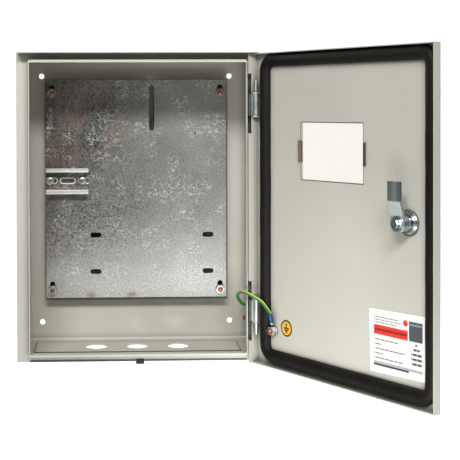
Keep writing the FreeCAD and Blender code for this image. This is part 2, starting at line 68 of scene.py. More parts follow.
# ---- places shared with the CAD model ----------------------------------------------------------
DOOR_JOINT = next(j for j in frame["joints"] if j["name"] == "door_hinge")
HINGE = Vector(DOOR_JOINT["pos_m"])
OPEN_ANGLE = math.radians(-DOOR_JOINT["range_deg"][0])
SWING = Matrix.Translation(HINGE) @ Matrix.Rotation(OPEN_ANGLE, 4, "Z") @ Matrix.Translation(-HINGE)
DOOR_INWARD = SWING.to_3x3() @ Vector((0.0, 1.0, 0.0))  # from the outside of the open door to its inside
DOOR_INNER = -158.8 * MM                                # inside of the shut door's sheet
DOOR_STUD = Vector((121.2, -158.8, -152.5)) * MM        # foot of the earth stud on the shut door
CABINET_STUD = Vector((153.8, -83.0, -153.0)) * MM      # foot of the earth stud on the cabinet's side wall
PLATE_STUDS = [Vector((x, -1.2, z)) * MM for z in (147.7, -123.5) for x in (-115.5, 115.5)]
LOCK = Vector((-105.0, -160.0, 1.5)) * MM               # centre of the lock on the outside of the shut door
WINDOW = (-0.0346, 0.0706, 0.0401, 0.1088)              # cut-out in the shut door: left, right, bottom, top
STICKER_X, STICKER_Z = 0.0984, -0.1463                  # centre of the round sticker on the shut door
RAIL_Z = 0.0273                                         # middle of the top-hat rail
RAIL_SLOTS = (-0.1186, -0.0942, -0.0698)                # centres of the slots in its web


# ---- mesh helpers ------------------------------------------------------------------------------
def mesh_object(name, vertices, faces):
    """Smooth-shaded mesh object from vertices in metres."""
    mesh = bpy.data.meshes.new(name)
    mesh.from_pydata([tuple(v) for v in vertices], [], faces)
    mesh.validate()
    mesh.update()
    mesh.polygons.foreach_set("use_smooth", [True] * len(mesh.polygons))
    piece = bpy.data.objects.new(name, mesh)
    bpy.context.scene.collection.objects.link(piece)
    return piece


def ring_faces(rings, per_ring, closed):
    """Quads between successive rings of points; closed joins the last ring to the first."""
    faces = []
    last = rings if closed else rings - 1
    for i in range(last):
        a, b = i * per_ring, ((i + 1) % rings) * per_ring
        for j in range(per_ring):
            k = (j + 1) % per_ring
            faces.append((a + j, a + k, b + k, b + j))
    if not closed:
        faces.append(tuple(range(per_ring))[::-1])
        faces.append(tuple((rings - 1) * per_ring + j for j in range(per_ring)))
    return faces


def spoke(side, other, k, around):
    """Direction number k out of as many as stand evenly round an axis."""
    angle = 2 * math.pi * k / around
    return side * math.cos(angle) + other * math.sin(angle)


def turned_ring(name, start, axis, section, around=56):
    """Turned piece with a bore: section is a closed loop of (along the axis, radius) in millimetres."""
    side = axis.orthogonal().normalized()
    other = axis.cross(side)
    vertices = []
    for k in range(around):
        out = spoke(side, other, k, around)
        vertices += [start + (axis * along + out * radius) * MM for along, radius in section]
    return mesh_object(name, vertices, ring_faces(around, len(section), True))


def finish_piece(piece, body, material, slot, *stands_for):
    """Give a new piece its body, its material and the CAD nodes it stands for."""
    piece.data.materials.append(material)
    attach(piece, body)
    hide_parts(*stands_for)


def joined(name, pieces):
    """Several mesh objects made into one."""
    bpy.ops.object.select_all(action="DESELECT")
    for piece in pieces:
        piece.select_set(True)
    bpy.context.view_layer.objects.active = pieces[0]
    bpy.ops.object.join()
    pieces[0].name = name
    return pieces[0]


# ---- shader helpers ----------------------------------------------------------------------------
class Shader:
    """Node tree of one material, with short calls for the nodes used here."""

    def __init__(self, name):
        self.material = bpy.data.materials.new(name)
        self.material.use_nodes = True
        self.tree = self.material.node_tree
        self.bsdf = self.tree.nodes["Principled BSDF"]
        self.object_coords = self.tree.nodes.new("ShaderNodeTexCoord").outputs["Object"]

    def add(self, kind, **settings):
        node = self.tree.nodes.new("ShaderNode" + kind)
        for key, value in settings.items():
            setattr(node, key, value)
        return node

    def link(self, source, target):
        if hasattr(source, "links"):
            self.tree.links.new(source, target)
        else:
            target.default_value = source

    def math(self, operation, a, b=0.0):
        node = self.add("Math", operation=operation)
        self.link(a, node.inputs[0])
        self.link(b, node.inputs[1])
        return node.outputs[0]

    def times(self, *values):
        """Product of several values."""
        return reduce(lambda a, b: self.math("MULTIPLY", a, b), values)

    def most(self, *values):
        """Largest of several values."""
        return reduce(lambda a, b: self.math("MAXIMUM", a, b), values)

    def radius(self, across, up):
        """Distance from the origin of two coordinates."""
        return self.math("SQRT", self.math("ADD", self.times(across, across), self.times(up, up)))

    def noise(self, scale, detail=3.0):
        node = self.add("TexNoise")
        node.inputs["Scale"].default_value = scale
        node.inputs["Detail"].default_value = detail
        self.link(self.object_coords, node.inputs["Vector"])
        return node.outputs[0]

    def cells(self, scale):
        """Random value for each small cell of a broken-up surface."""
        node = self.add("TexVoronoi")
        node.inputs["Scale"].default_value = scale
        self.link(self.object_coords, node.inputs["Vector"])
        return self.split(node.outputs["Color"])[0]

    def shade_crevices(self, colour, reach, floor):
        """Painted shade: darken a colour where neighbouring surfaces crowd in closer than reach metres."""
        node = self.add("AmbientOcclusion", samples=6)
        node.inputs["Distance"].default_value = reach
        openness = self.remap(node.outputs["AO"], 0.25, 0.95, floor, 1.0)
        return self.mix(openness, (0.0, 0.0, 0.0, 1.0), colour)

    def remap(self, value, low, high, to_low, to_high):
        node = self.add("MapRange")
        for socket, x in zip(node.inputs[:5], (value, low, high, to_low, to_high)):
            self.link(x, socket)
        return node.outputs[0]

    def mix(self, factor, a, b):
        node = self.add("Mix", data_type="RGBA")
        self.link(factor, node.inputs[0])
        self.link(a, node.inputs[6])
        self.link(b, node.inputs[7])
        return node.outputs[2]

    def bump(self, height, strength, distance, rounding=0.0):
        node = self.add("Bump")
        node.inputs["Strength"].default_value = strength
        node.inputs["Distance"].default_value = distance
        self.link(height, node.inputs["Height"])
        if rounding:
            bevel = self.add("Bevel", samples=4)
            bevel.inputs["Radius"].default_value = rounding
            self.link(bevel.outputs[0], node.inputs["Normal"])
        self.link(node.outputs[0], self.bsdf.inputs["Normal"])

    def split(self, coords):
        node = self.add("SeparateXYZ")
        self.link(coords, node.inputs[0])
        return node.outputs

    def door_coords(self):
        """Object coordinates turned back to the shut door."""
        back = SWING.inverted()
        node = self.add("Mapping", vector_type="POINT")
        node.inputs["Location"].default_value = back.to_translation()
        node.inputs["Rotation"].default_value = (0.0, 0.0, -OPEN_ANGLE)
        self.link(self.object_coords, node.inputs["Vector"])
        return node.outputs[0]

    def band(self, value, low, high, soft=0.0003):
        """1 between low and high, 0 outside, with soft edges."""
        rise = self.remap(value, low - soft, low + soft, 0.0, 1.0)
        fall = self.remap(value, high - soft, high + soft, 1.0, 0.0)
        return self.times(rise, fall)

    def rectangle(self, across, up, x0, x1, z0, z1, soft=0.0003):
        """1 inside a rectangle, 0 outside, with soft edges."""
        return self.times(self.band(across, x0, x1, soft), self.band(up, z0, z1, soft))

    def set_colour(self, colour):
        """Use a colour for the whole surface."""
        self.colour = colour
        self.link(colour, self.bsdf.inputs["Base Color"])


def rgb(red, green, blue):
    """Linear colour from 0-255 screen values."""
    def linear(value):
        c = value / 255.0
        return c / 12.92 if c <= 0.04045 else ((c + 0.055) / 1.055) ** 2.4
    return (linear(red), linear(green), linear(blue), 1.0)


def surface(name, colour, dark, roughness, metallic=0.0, patch=9.0, grain=900.0, relief=0.1,
            depth=0.0001, rounding=0.0003, crevice=0.0, crevice_floor=0.5):
    """Base finish: a tone that drifts over the part, fine relief, uneven gloss and painted shade in crevices.
    """
    s = Shader(name)
    drift = s.remap(s.noise(patch, 4.0), 0.3, 0.7, 0.0, 1.0)
    tone = s.mix(drift, dark, colour)
    # painted shade: crevices darkened by ambient occlusion
    if crevice:
        tone = s.shade_crevices(tone, crevice, crevice_floor)
    s.set_colour(tone)
    s.bsdf.inputs["Metallic"].default_value = metallic
    gloss = s.remap(s.noise(patch * 6.0, 3.0), 0.25, 0.75, roughness - 0.06, roughness + 0.06)
    s.link(gloss, s.bsdf.inputs["Roughness"])
    s.bump(s.noise(grain, 2.0), relief, depth, rounding)
    return s


# ---- materials ---------------------------------------------------------------------------------
def paint(name="powder_coat", light=rgb(214, 212, 201), dark=rgb(208, 206, 194)):
    """Light grey powder coat with a slight orange peel, with painted shade where little light reaches it and
    painted highlights on the bend between back wall and floor and on the strip under the lower lip.
    """
    s = surface(name, light, dark, 0.42, grain=700.0, relief=0.12, crevice=0.011, crevice_floor=0.30)
    x, y, z = s.split(s.object_coords)
    # painted shade behind the mounting plate and beside the hinges
    shade = s.most(shade_behind_plate(s, x, y, z), hinge_pocket_shade(s, x, y, z))
    tone = s.mix(shade, s.colour, rgb(30, 30, 27))
    # painted highlight along the bend between back wall and floor
    bend_highlight = s.times(s.band(z, -0.1962, -0.1938), s.band(y, -0.0080, -0.0007, 0.0002))
    tone = s.mix(bend_highlight, tone, rgb(222, 220, 209))
    s.set_colour(flange_bottom(s, tone, x, y, z))
    return s


def shade_behind_plate(s, x, y, z):
    """Painted shade on the back wall behind the mounting plate, darkest behind the slots for the studs; it
    reaches a little past the plate's edges as a painted shadow line.
    """
    wall = s.band(y, -0.0030, -0.0007, 0.0002)
    # painted shade where the plate covers the wall, a little wider than the plate
    cover_shade = s.rectangle(x, z, -0.1268, 0.1284, -0.1414, 0.1676, 0.0006)
    slots = s.times(s.band(s.math("ABSOLUTE", x), 0.1120, 0.1230, 0.001), s.band(z, -0.1290, 0.1590, 0.002))
    return s.times(wall, cover_shade, s.remap(slots, 0.0, 1.0, 0.60, 0.95))


def hinge_pocket_shade(s, x, y, z):
    """Painted shade on the flange beside the two hinges, in the narrow gap behind the door's fold."""
    # painted shade on the flange strip beside each hinge
    flange = s.rectangle(x, y, 0.1392, 0.1520, -0.1402, -0.1370)
    return s.times(flange, s.band(s.math("ABSOLUTE", z), 0.0945, 0.1705), 0.85)


def flange_bottom(s, tone, x, y, z):
    """Lower flange: a painted pool of light on the strip under the lip and a painted shade line where the
    sheet turns under.
    """
    front = s.rectangle(x, y, -0.1390, 0.1390, -0.1402, -0.1380)
    # painted light on the strip under the lip
    strip = s.times(s.band(z, -0.1940, -0.1885), front)
    tone = s.mix(strip, tone, rgb(240, 238, 228))
    # painted shade where the sheet turns under
    turn = s.times(s.band(z, -0.1975, -0.1944, 0.0006), front, 0.85)
    return s.mix(turn, tone, rgb(70, 68, 62))


def entry_paint():
    """The same paint with a painted shadow line in the gap along the edge of the plate in the floor."""
    s = paint("powder_coat_edge_shadow")
    x, y, _ = s.split(s.object_coords)
    # painted shadow in the gap round the plate: all outside the middle goes dark
    middle = s.rectangle(x, y, -0.1360, 0.1360, -0.0910, -0.0285)
    s.set_colour(s.mix(middle, rgb(74, 72, 64), s.colour))
    return s.material


def zinc_mottle(s):
    """Zinc crystals with painted shade towards the top left that stands in for weaker reflections there: fine
    grain, dark specks, pale flecks and a warm cast.
    """
    x, _, z = s.split(s.object_coords)
    clouds = s.remap(s.noise(15.0, 4.0), 0.35, 0.65, 0.0, 1.0)
    # painted shade: strongest towards the left, none along the bottom, a little weaker at the very top,
    # broken up by clouds
    height = s.times(s.remap(z, -0.115, -0.020, 0.0, 1.0), s.remap(z, 0.085, 0.150, 1.0, 0.68))
    side = s.times(s.remap(x, -0.125, 0.060, 1.0, 0.62), s.remap(z, 0.0, 0.070, 1.0, 1.20))
    reflection_shade = s.times(height, side, s.remap(clouds, 0.0, 1.0, 0.80, 1.0))
    tone = s.mix(reflection_shade, s.colour, rgb(112, 110, 105))
    grain = s.times(s.remap(s.noise(640.0, 3.0), 0.42, 0.56, 1.0, 0.0), 0.40)
    tone = s.mix(grain, tone, rgb(60, 60, 58))
    tone = s.mix(dark_specks(s, x, z, clouds), tone, rgb(28, 26, 25))
    tone = s.mix(pale_flecks(s), tone, rgb(232, 234, 230))
    cast = s.remap(s.noise(20.0, 2.0), 0.50, 0.62, 0.0, 0.40)
    cast = s.times(cast, s.remap(side, 0.7, 1.0, 0.0, 1.0), height)
    return s.mix(cast, tone, rgb(138, 112, 100))


def dark_specks(s, x, z, clouds):
    """Specks between the crystals, dense on the left and sparse along the bottom of the plate."""
    place = s.times(s.remap(x, -0.070, 0.040, 1.0, 0.20), s.remap(z, -0.095, -0.050, 0.12, 1.0))
    specks = s.remap(s.noise(370.0, 5.0), 0.43, 0.50, 1.0, 0.0)
    strength = s.remap(s.cells(420.0), 0.0, 1.0, 0.45, 1.0)
    return s.times(specks, strength, place, s.remap(clouds, 0.0, 1.0, 0.55, 1.0))


def pale_flecks(s):
    """Thin light flecks in loose groups."""
    lines = s.band(s.noise(120.0, 4.0), 0.500, 0.520, 0.006)
    groups = s.remap(s.noise(34.0, 2.0), 0.46, 0.58, 0.0, 0.85)
    return s.times(lines, groups)


def galvanised():
    """Zinc-coated sheet with two brown stains at its lower edge, and painted shade where the rail covers it.
    """
    s = surface("galvanised_sheet", rgb(220, 222, 217), rgb(202, 204, 199), 0.38, metallic=0.36, patch=11.0,
                crevice=0.004)
    x, _, z = s.split(s.object_coords)
    lower_edge = s.band(z, -0.134, -0.127, 0.003)
    stains = s.most(s.band(x, -0.0680, -0.0580, 0.003), s.band(x, -0.0125, -0.0005, 0.003))
    broken = s.remap(s.noise(160.0, 2.0), 0.35, 0.60, 0.45, 0.85)
    tone = s.mix(s.times(lower_edge, stains, broken), zinc_mottle(s), rgb(150, 122, 66))
    # painted shade on the plate behind the rail
    cover_shade = s.rectangle(x, z, -0.1236, -0.0656, 0.0138, 0.0408)
    s.set_colour(s.mix(s.times(cover_shade, 0.75), tone, rgb(52, 48, 44)))
    return s.material


def rail_zinc():
    """Rail: web in the zinc mottle with its painted shade, painted highlights round the slot edges, and rims
    painted near white as a painted highlight, each with one fine dark line.
    """
    s = surface("rail_zinc", rgb(200, 201, 197), rgb(180, 182, 178), 0.44, metallic=0.85, patch=11.0,
                relief=0.02, rounding=0.0008, crevice=0.003)
    x, y, z = s.split(s.object_coords)
    web = zinc_mottle(s)
    up = s.math("SUBTRACT", z, RAIL_Z)
    for centre in RAIL_SLOTS:
        along = s.math("ABSOLUTE", s.math("SUBTRACT", x, centre))
        beyond = s.most(s.math("SUBTRACT", along, 0.0064), 0.0)
        # painted highlight round the edge of each slot
        slot_edge_highlight = s.band(s.radius(beyond, up), 0.0026, 0.0044)
        web = s.mix(slot_edge_highlight, web, rgb(238, 238, 235))
    lines = s.most(s.band(z, 0.0431, 0.0437), s.band(z, 0.0127, 0.0133))
    # rims painted near white: a painted highlight, with one fine dark line each
    rim_highlight = s.mix(lines, rgb(252, 253, 250), rgb(120, 122, 118))
    rim = s.remap(y, -0.0300, -0.0285, 1.0, 0.0)
    s.set_colour(s.mix(rim, web, rim_highlight))
    return s.material


def hardware_zinc():
    """Zinc plating on hinges, nuts and washers."""
    return surface("zinc_plating", rgb(222, 228, 224), rgb(180, 188, 184), 0.40, metallic=0.90,
                   patch=60.0, relief=0.02, crevice=0.0025, crevice_floor=0.15).material


def leaf_zinc():
    """Hinge leaf: painted shade on the web, the knuckle left in the bright plating, and painted shadow on the
    foot behind the door's fold.
    """
    s = surface("leaf_zinc", rgb(226, 232, 228), rgb(190, 197, 193), 0.40, metallic=0.90, patch=60.0,
                relief=0.02, crevice=0.0025, crevice_floor=0.15)
    x, y, _ = s.split(s.object_coords)
    # painted shade on the web, clear of the knuckle
    web = s.remap(x, 0.1452, 0.1464, 0.60, 0.0)
    tone = s.mix(web, s.colour, rgb(92, 100, 92))
    # painted shadow on the foot
    foot = s.remap(y, -0.1420, -0.1412, 0.0, 0.85)
    s.set_colour(s.mix(foot, tone, rgb(36, 37, 34)))
    return s.material


def lock_cam_zinc():
    """Pale zinc plating on the lock cam, with painted shade on its flat end that stands in for a dark
    reflection, and a painted sheen streak down the middle.
    """
    s = surface("pale_zinc", rgb(246, 252, 251), rgb(226, 238, 237), 0.30, metallic=0.80,
                patch=45.0, relief=0.010, crevice=0.003, crevice_floor=0.2)
    x, _, z = s.split(s.door_coords())
    # painted shade on the flat end, lifted by a painted sheen streak down the middle
    flat_end_shade = s.remap(z, 0.0262, 0.0270, 0.0, 0.70)
    streak = s.band(x, -0.1085, -0.1040, 0.0030)
    dark = s.times(flat_end_shade, s.remap(streak, 0.0, 1.0, 1.0, 0.35))
    s.set_colour(s.mix(dark, s.colour, rgb(104, 112, 112)))
    return s.material


def lock_nut_zinc():
    """Bluish zinc plating on the lock's nut and washer, with painted shade between the teeth and small
    painted patches of highlight and shade.
    """
    return surface("blue_zinc", rgb(236, 246, 248), rgb(112, 128, 134), 0.26, metallic=0.94,
                   patch=210.0, relief=0.02, crevice=0.002, crevice_floor=0.05).material


def bolt_zinc():
    """Cam bolt: bright plating broken up by small painted patches of highlight and shade that stand in for a
    broken-up reflection.
    """
    return surface("bolt_zinc", rgb(240, 244, 242), rgb(92, 100, 100), 0.24, metallic=0.94,
                   patch=260.0, relief=0.03, crevice=0.002, crevice_floor=0.05).material


def bright_metal():
    """Nickel-like plating."""
    return surface("bright_plating", rgb(252, 253, 251), rgb(206, 210, 208), 0.28, metallic=0.95,
                   patch=70.0, relief=0.015, crevice=0.002, crevice_floor=0.1).material


def dark_chrome():
    """Polished lock body, darker than the nuts round it."""
    return surface("dark_chrome", rgb(196, 202, 204), rgb(120, 126, 130), 0.14, metallic=1.0,
                   patch=90.0, relief=0.01, crevice=0.002, crevice_floor=0.1).material


def copper():
    """Copper-plated steel."""
    return surface("copper_plating", rgb(216, 138, 96), rgb(160, 92, 62), 0.30, metallic=0.90,
                   patch=90.0, relief=0.08, crevice=0.002, crevice_floor=0.2).material


def black_rubber():
    """Matt rubber of the drain plug and the lock seal."""
    return surface("black_rubber", rgb(34, 33, 32), rgb(22, 22, 22), 0.50, patch=80.0, relief=0.2).material


def foam():
    """Poured foam: dark, with a closed, slightly shiny skin over small pores."""
    s = surface("poured_foam", rgb(22, 19, 17), rgb(13, 11, 10), 0.58, patch=30.0, grain=1500.0,
                relief=0.35, depth=0.0002, rounding=0.0)
    s.bsdf.inputs["Specular IOR Level"].default_value = 0.26
    return s.material


def pane():
    """Clear plastic: mostly see-through, softly smudged, with a painted shade line along the edge of the
    cut-out.
    """
    s = Shader("clear_plastic")
    x, _, z = s.split(s.door_coords())
    left, right, low, high = WINDOW
    line = 0.0016
    inside = s.rectangle(x, z, left, right, low, high)
    # painted shade line just outside the window's edge
    edge = s.math("SUBTRACT", s.rectangle(x, z, left - line, right + line, low - line, high + line), inside)
    s.set_colour(s.mix(edge, rgb(244, 241, 236), rgb(92, 88, 80)))
    s.link(s.remap(s.noise(60.0, 3.0), 0.4, 0.7, 0.08, 0.16), s.bsdf.inputs["Roughness"])
    s.bump(s.noise(200.0, 2.0), 0.03, 0.0001)
    clear = s.add("BsdfTransparent")
    s.link(rgb(249, 247, 243), clear.inputs["Color"])
    smudge = s.remap(s.noise(45.0, 3.0), 0.4, 0.75, 0.06, 0.085)
    blend = s.add("MixShader")
    s.link(s.most(smudge, s.times(edge, 0.7)), blend.inputs[0])
    s.link(clear.outputs[0], blend.inputs[1])
    s.link(s.bsdf.outputs[0], blend.inputs[2])
    s.link(blend.outputs[0], s.tree.nodes["Material Output"].inputs["Surface"])
    return s.material


def clip_metal(name, colour, dark):
    """Snap strip beside the pane."""
    return surface(name, colour, dark, 0.38, metallic=0.2, patch=90.0, crevice=0.002).material


def wire_insulation():
    """Green insulation with one yellow stripe that follows the wire."""
    s = surface("striped_insulation", rgb(40, 138, 68), rgb(24, 106, 50), 0.32, patch=120.0, relief=0.04,
                rounding=0.0)
    around = s.add("Attribute", attribute_name="around").outputs["Fac"]
    stripe = s.band(around, 0.14, 0.47, 0.015)
    s.set_colour(s.mix(stripe, s.colour, rgb(196, 212, 72)))
    return s.material


def sleeve_plastic():
    """Blue plastic of the two terminal sleeves."""
    return surface("blue_sleeve", rgb(8, 78, 124), rgb(4, 52, 90), 0.34, patch=150.0, relief=0.06).material


def earth_print():
    """Yellow disc with a dark ring and the plain earth symbol: a stem and three bars."""
    s = surface("yellow_film", rgb(252, 198, 62), rgb(244, 184, 48), 0.45, patch=60.0, relief=0.04)
    x, _, z = s.split(s.door_coords())
    across = s.math("SUBTRACT", x, STICKER_X)
    up = s.math("SUBTRACT", z, STICKER_Z)
    ring = s.band(s.radius(across, up), 0.0084, 0.0112)
    stem = s.rectangle(across, up, -0.0011, 0.0011, 0.0, 0.0068)
    bars = [s.rectangle(across, up, -half_width, half_width, height - 0.0009, height + 0.0009)
            for half_width, height in ((0.0050, 0.0), (0.0034, -0.0024), (0.0017, -0.0048))]
    s.set_colour(s.mix(s.most(ring, stem, *bars), s.colour, rgb(24, 14, 10)))
    return s.material


def label_rows(s, x, z):
    """Masks for the rows that stand in for print: fine dashes, bold dashes and hairlines."""
    words = s.remap(s.math("FRACT", s.times(x, 145.0)), 0.12, 0.16, 0.25, 1.0)
    fine, bold = [], []
    hairlines = [s.rectangle(x, z, -0.1035, -0.1029, -0.1565, -0.1275)]
    for k, length in enumerate((0.036, 0.040, 0.033)):
        row = -0.1079 - 0.0030 * k
        fine.append(s.rectangle(x, z, -0.0525 - length, -0.0525, row - 0.0005, row + 0.0005))
    table = ((0.036, 0.0020), (0.011, 0.0045), (0.046, 0.0074), (0.013, 0.0080), (0.043, 0.0074))
    for k, (length, half_width) in enumerate(table):
        row = -0.1331 - 0.0052 * k
        fine.append(s.rectangle(x, z, -0.0528 - length, -0.0528, row - 0.0007, row + 0.0007))
        hairlines.append(s.rectangle(x, z, -0.1235, -0.0600, row - 0.0022, row - 0.0018))
        bold.append(s.rectangle(x, z, -0.1160 - half_width, -0.1160 + half_width, row + 0.0010, row + 0.0034))
    return s.times(s.most(*fine), words), s.times(s.most(*bold), words), s.most(*hairlines)


def label_red(s, x, z, tone):
    """Red disc, and a red panel with a row of dashes."""
    across, up = s.math("ADD", x, 0.0997), s.math("ADD", z, 0.1090)
    squared = s.math("ADD", s.times(across, across), s.times(up, up))
    disc = s.remap(squared, 0.0033 ** 2, 0.0037 ** 2, 1.0, 0.0)
    panel = s.rectangle(x, z, -0.1032, -0.0519, -0.1276, -0.1168)
    tone = s.mix(s.most(disc, panel), tone, rgb(222, 58, 48))
    dashes = s.remap(s.math("FRACT", s.times(x, 210.0)), 0.2, 0.3, 0.3, 1.0)
    row = s.rectangle(x, z, -0.1018, -0.0540, -0.1233, -0.1208)
    return s.mix(s.times(dashes, row), tone, rgb(118, 30, 28))


def label_blocks(s, x, z, tone):
    """Grey square with a lighter bar across it, and two bars along the bottom."""
    blocks = ((-0.1245, -0.1049, -0.1274, -0.1059, rgb(78, 84, 90)),
              (-0.1232, -0.1062, -0.1104, -0.1086, rgb(148, 152, 156)),
              (-0.1245, -0.0518, -0.1606, -0.1576, rgb(176, 177, 177)),
              (-0.1048, -0.0518, -0.1626, -0.1604, rgb(52, 52, 52)))
    for left, right, low, high, grey in blocks:
        tone = s.mix(s.rectangle(x, z, left, right, low, high), tone, grey)
    return tone


def label_print():
    """White data label laid out in plain blocks and rows of dashes: no lettering, no mark."""
    s = surface("white_film", rgb(246, 244, 239), rgb(240, 238, 232), 0.42, patch=40.0, relief=0.04)
    x, _, z = s.split(s.door_coords())
    fine, bold, hairlines = label_rows(s, x, z)
    tone = s.mix(s.times(hairlines, 0.5), s.colour, rgb(150, 152, 154))
    tone = s.mix(fine, tone, rgb(112, 112, 110))
    tone = s.mix(bold, tone, rgb(58, 58, 58))
    tone = label_red(s, x, z, tone)
    s.set_colour(label_blocks(s, x, z, tone))
    return s.material


# ---- soft and turned pieces --------------------------------------------------------------------
def rounded_rectangle(x0, x1, z0, z1, radius, spacing):
    """Points and outward directions round a rectangle with rounded corners, in the X-Z plane."""
    corners = ((x1 - radius, z0 + radius, -90), (x1 - radius, z1 - radius, 0),
               (x0 + radius, z1 - radius, 90), (x0 + radius, z0 + radius, 180))
    points = []
    for index, (cx, cz, start) in enumerate(corners):
        for k in range(13):
            angle = math.radians(start + 90.0 * k / 12)
            out = Vector((math.cos(angle), 0.0, math.sin(angle)))
            points.append((Vector((cx, 0.0, cz)) + out * radius, out))
        nx, nz, next_start = corners[(index + 1) % 4]
        angle = math.radians(next_start)
        out = Vector((math.cos(angle), 0.0, math.sin(angle)))
        here, there = points[-1][0], Vector((nx, 0.0, nz)) + out * radius
        steps = max(2, int((there - here).length / spacing))
        points += [(here.lerp(there, k / steps), out) for k in range(1, steps)]
    return points


def bead_section(half_width, height, crest):
    """Cross-section of the bead: a flat foot and two rounded shoulders, as (across, rise)."""
    section = [(-half_width, 0.0)]
    for centre, start in ((crest - half_width, 180.0), (half_width - crest, 90.0)):
        for k in range(9):
            angle = math.radians(start - 90.0 * k / 8)
            section.append((centre + crest * math.cos(angle), height - crest + crest * math.sin(angle)))
    section.append((half_width, 0.0))
    return section


def gasket(material):
    """Foam bead poured round the door, a little uneven, wider and lower where the pour starts and ends."""
    section = bead_section(8.3 * MM, 8.5 * MM, 8.1 * MM)
    path = rounded_rectangle(-139.2 * MM, 136.3 * MM, -185.2 * MM, 186.6 * MM, 14.3 * MM, 4.0 * MM)
    hinge_side, pour_z, pour_reach = 0.13, 0.031, 0.018
    vertices = []
    for centre, out in path:
        wave = 0.18 * MM * math.sin(centre.z * 95.0 + centre.x * 71.0)
        pour = math.exp(-((centre.z - pour_z) / pour_reach) ** 2) if centre.x > hinge_side else 0.0
        spread = 1.0 + 0.05 * pour
        for across, rise in section:
            side = out * (across * spread + (wave if rise > 0 else 0.0))
            vertices.append(centre + side + Vector((0.0, DOOR_INNER + rise * (1.0 - 0.03 * pour), 0.0)))
    piece = mesh_object("gasket_bead", vertices, ring_faces(len(path), len(section), True))
    piece.data.transform(SWING)
    finish_piece(piece, "door", material, "foam_gasket", "door_gasket")


def smooth_path(points, steps):
    """Catmull-Rom curve through points."""
    ends = [points[0] * 2 - points[1]] + points + [points[-1] * 2 - points[-2]]
    path = []
    for i in range(1, len(ends) - 2):
        a, b, c, d = ends[i - 1:i + 3]
        for k in range(steps):
            t = k / steps
            path.append(0.5 * (2 * b + (c - a) * t + (2 * a - 5 * b + 4 * c - d) * t * t
                               + (3 * b - a - 3 * c + d) * t ** 3))
    return path + [points[-1]]


def barrel_point(centre, normal, lean, reach):
    """Point on the axis of a ring terminal's barrel, reach millimetres from its stud; lean is in degrees."""
    rise = 4.0 + (reach - 8.4) * math.tan(math.radians(11.0))
    offset = (Vector((0.0, 0.0, reach)) + normal * rise) * MM
    return centre + Matrix.Rotation(math.radians(lean), 3, normal) @ offset


def door_barrel(reach):
    """Point on the door terminal's barrel."""
    return SWING @ barrel_point(DOOR_STUD, Vector((0.0, 1.0, 0.0)), 3.5, reach)


def cabinet_barrel(reach):
    """Point on the cabinet terminal's barrel."""
    return barrel_point(CABINET_STUD, Vector((-1.0, 0.0, 0.0)), -32.0, reach)


def earth_wire(material):
    """Insulated wire that crosses the hinge."""
    radius, around = 2.05 * MM, 20
    reaches = (15.2, 18.6, 22.0)
    crossing = [Vector(p) * MM for p in (
        (154.5, -172.5, -117.4), (144.8, -167.5, -111.2), (136.8, -160.5, -107.3), (130.8, -151.5, -106.9),
        (127.3, -138.5, -113.2), (130.3, -127.5, -121.1), (136.7, -117.0, -128.4))]
    path = smooth_path([door_barrel(r) for r in reaches] + crossing
                       + [cabinet_barrel(r) for r in reversed(reaches)], 8)
    vertices, turns = [], []
    for i, centre in enumerate(path):
        tangent = (path[min(i + 1, len(path) - 1)] - path[max(i - 1, 0)]).normalized()
        side = tangent.cross(Vector((0.0, 0.3, 1.0))).normalized()
        other = side.cross(tangent)
        for k in range(around):
            vertices.append(centre + spoke(side, other, k, around) * radius)
            turns.append(k / around)
    piece = mesh_object("earth_wire_cable", vertices, ring_faces(len(path), around, False))
    mark = piece.data.attributes.new("around", "FLOAT", "POINT")
    mark.data.foreach_set("value", turns)
    piece.data.materials.append(material)
    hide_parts("earth_wire")
    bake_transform(piece)


def sleeve(name, low, high, body, material, node):
    """Slightly flared insulating sleeve with a rolled rim at both ends."""
    length = (high - low).length / MM
    bore, rim, roll = 2.22, 2.45, 0.4
    section = [(0.0, bore), (0.0, rim), (roll, 2.70), (length - roll, 2.65), (length, rim), (length, bore)]
    piece = turned_ring(name, low, (high - low).normalized(), section)
    finish_piece(piece, body, material, "sleeve_blue", node)


def sleeves(material):
    """Sleeves over the two ring terminals of the earth wire."""
    for body, barrel in (("door", door_barrel), ("cabinet", cabinet_barrel)):
        sleeve(body + "_sleeve", barrel(10.0), barrel(21.5), body, material, body + "_terminal_sleeve")


def softened_box(name, low, high, radius):
    """Box with rounded edges between two corners; all sizes in millimetres."""
    low, high = Vector(low), Vector(high)
    middle, half = (low + high) / 2, (high - low) / 2
    steps = 12
    vertices, faces = [], []
    for axis in range(3):
        for sign in (-1, 1):
            first = len(vertices)
            for i in range(steps + 1):
                for j in range(steps + 1):
                    unit = [0.0, 0.0, 0.0]
                    unit[axis] = float(sign)
                    unit[(axis + 1) % 3] = 2.0 * i / steps - 1.0
                    unit[(axis + 2) % 3] = 2.0 * j / steps - 1.0
                    raw = Vector([u * h for u, h in zip(unit, half)])
                    core = Vector([max(-(h - radius), min(h - radius, r)) for r, h in zip(raw, half)])
                    out = raw - core
                    vertices.append((middle + core + out.normalized() * radius) * MM)
            for i in range(steps):
                for j in range(steps):
                    a = first + i * (steps + 1) + j
                    quad = (a, a + steps + 1, a + steps + 2, a + 1)
                    faces.append(quad if sign > 0 else quad[::-1])
    piece = mesh_object(name, vertices, faces)
    weld = piece.modifiers.new("weld", "WELD")
    weld.merge_threshold = 0.00001
    return piece


